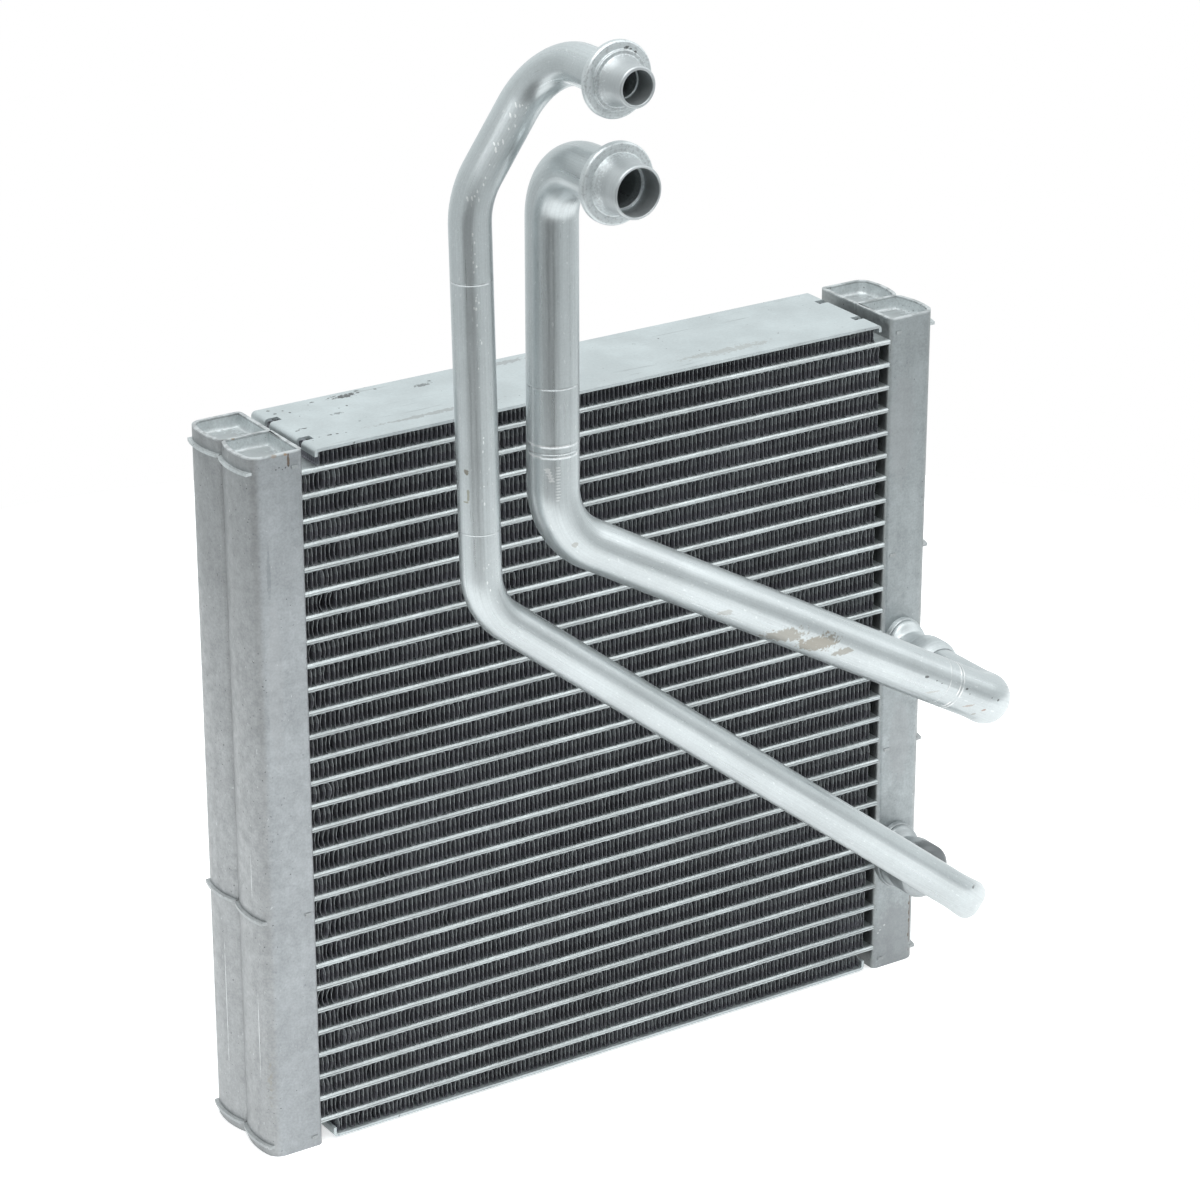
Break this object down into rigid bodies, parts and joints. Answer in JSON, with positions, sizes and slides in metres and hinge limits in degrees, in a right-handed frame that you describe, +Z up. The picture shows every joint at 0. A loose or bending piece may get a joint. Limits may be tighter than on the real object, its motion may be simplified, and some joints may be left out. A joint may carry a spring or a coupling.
{
  "type": "evaporator core",
  "caption": "Brazed evaporator core of flat tubes and folded fins between twin-cell headers, with two bent pipes rising to flanged spigots.",
  "frame": {"origin": "centre of the bottom side plate's lower face; the headers' rims reach 1 mm below it", "axes": "+Z up along the headers, +X along the flat tubes towards the header with the pipes, +Y through the core away from the pipes"},
  "size_m": [0.2616, 0.1405, 0.3785],
  "materials": {
    "header_aluminium": "dull grey, as brazed",
    "plate_aluminium": "pale, rolled",
    "tube_aluminium": "pale, as brazed",
    "fin_aluminium": "dark grey between the tubes",
    "pipe_aluminium": "satin, drawn",
    "fitting_aluminium": "satin, turned"
  },
  "bodies": {
    "root": {"left_header": "header_aluminium", "right_header": "header_aluminium", "left_top_end_plate": "plate_aluminium", "left_bottom_end_plate": "plate_aluminium", "left_baffle": "plate_aluminium", "right_top_end_plate": "plate_aluminium", "right_bottom_end_plate": "plate_aluminium", "right_upper_baffle": "plate_aluminium", "right_lower_baffle": "plate_aluminium", "top_side_plate": "plate_aluminium", "bottom_side_plate": "plate_aluminium", "flat_tube_01": "tube_aluminium", "flat_tube_02": "tube_aluminium", "flat_tube_03": "tube_aluminium", "flat_tube_04": "tube_aluminium", "flat_tube_05": "tube_aluminium", "flat_tube_06": "tube_aluminium", "flat_tube_07": "tube_aluminium", "flat_tube_08": "tube_aluminium", "flat_tube_09": "tube_aluminium", "flat_tube_10": "tube_aluminium", "flat_tube_11": "tube_aluminium", "flat_tube_12": "tube_aluminium", "flat_tube_13": "tube_aluminium", "flat_tube_14": "tube_aluminium", "flat_tube_15": "tube_aluminium", "flat_tube_16": "tube_aluminium", "flat_tube_17": "tube_aluminium", "flat_tube_18": "tube_aluminium", "flat_tube_19": "tube_aluminium", "flat_tube_20": "tube_aluminium", "flat_tube_21": "tube_aluminium", "flat_tube_22": "tube_aluminium", "flat_tube_23": "tube_aluminium", "flat_tube_24": "tube_aluminium", "flat_tube_25": "tube_aluminium", "flat_tube_26": "tube_aluminium", "flat_tube_27": "tube_aluminium", "flat_tube_28": "tube_aluminium", "flat_tube_29": "tube_aluminium", "fin_rows_01": "fin_aluminium", "fin_rows_02": "fin_aluminium", "fin_rows_03": "fin_aluminium", "fin_rows_04": "fin_aluminium", "fin_rows_05": "fin_aluminium", "fin_rows_06": "fin_aluminium", "fin_rows_07": "fin_aluminium", "fin_rows_08": "fin_aluminium", "fin_rows_09": "fin_aluminium", "fin_rows_10": "fin_aluminium", "suction_boss": "pipe_aluminium", "liquid_boss": "pipe_aluminium", "suction_pipe": "pipe_aluminium", "liquid_pipe": "pipe_aluminium", "suction_fitting": "fitting_aluminium", "liquid_fitting": "fitting_aluminium"}
  },
  "joints": []
}
